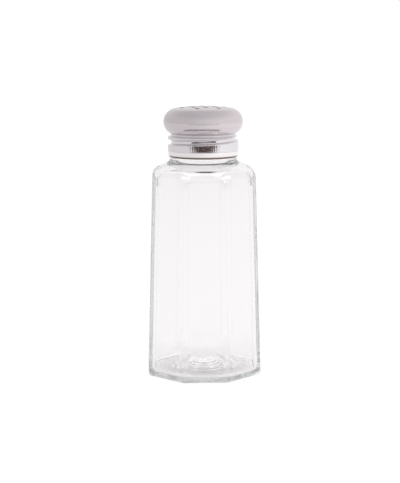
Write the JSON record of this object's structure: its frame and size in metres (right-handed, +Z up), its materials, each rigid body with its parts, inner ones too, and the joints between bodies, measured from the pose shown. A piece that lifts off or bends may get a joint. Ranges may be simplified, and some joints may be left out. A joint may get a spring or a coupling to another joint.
{
  "type": "spice shaker",
  "caption": "Clear glass table shaker with flat panels and a perforated stainless mushroom cap that unscrews from the threaded neck.",
  "frame": {"origin": "centre of the jar's foot, on the plane that the jar stands on", "axes": "+Z up along the jar's axis; -Y out of the middle of one panel"},
  "size_m": [0.0446, 0.0446, 0.1063],
  "materials": {
    "glass": "clear blown glass, fire-polished",
    "steel": "satin-polished stainless sheet",
    "liner": "natural polyethylene"
  },
  "bodies": {
    "jar": {"glass_jar": "glass"},
    "ring": {"sealing_ring": "liner"},
    "cap": {"mushroom_cap": "steel"}
  },
  "joints": [
    {"name": "cap_lift", "type": "slide", "parent": "jar", "child": "ring", "axis": [0, 0, 1], "range_m": [0, 0.0096]},
    {"name": "cap_turn", "type": "hinge", "parent": "ring", "child": "cap", "pos_m": [0, 0, 0.09], "axis": [0, 0, 1], "range_deg": [0, 1080]}
  ],
  "couplings": [
    {"joint": "cap_lift", "follows": "cap_turn", "m_per_rad": 0.00050532}
  ]
}
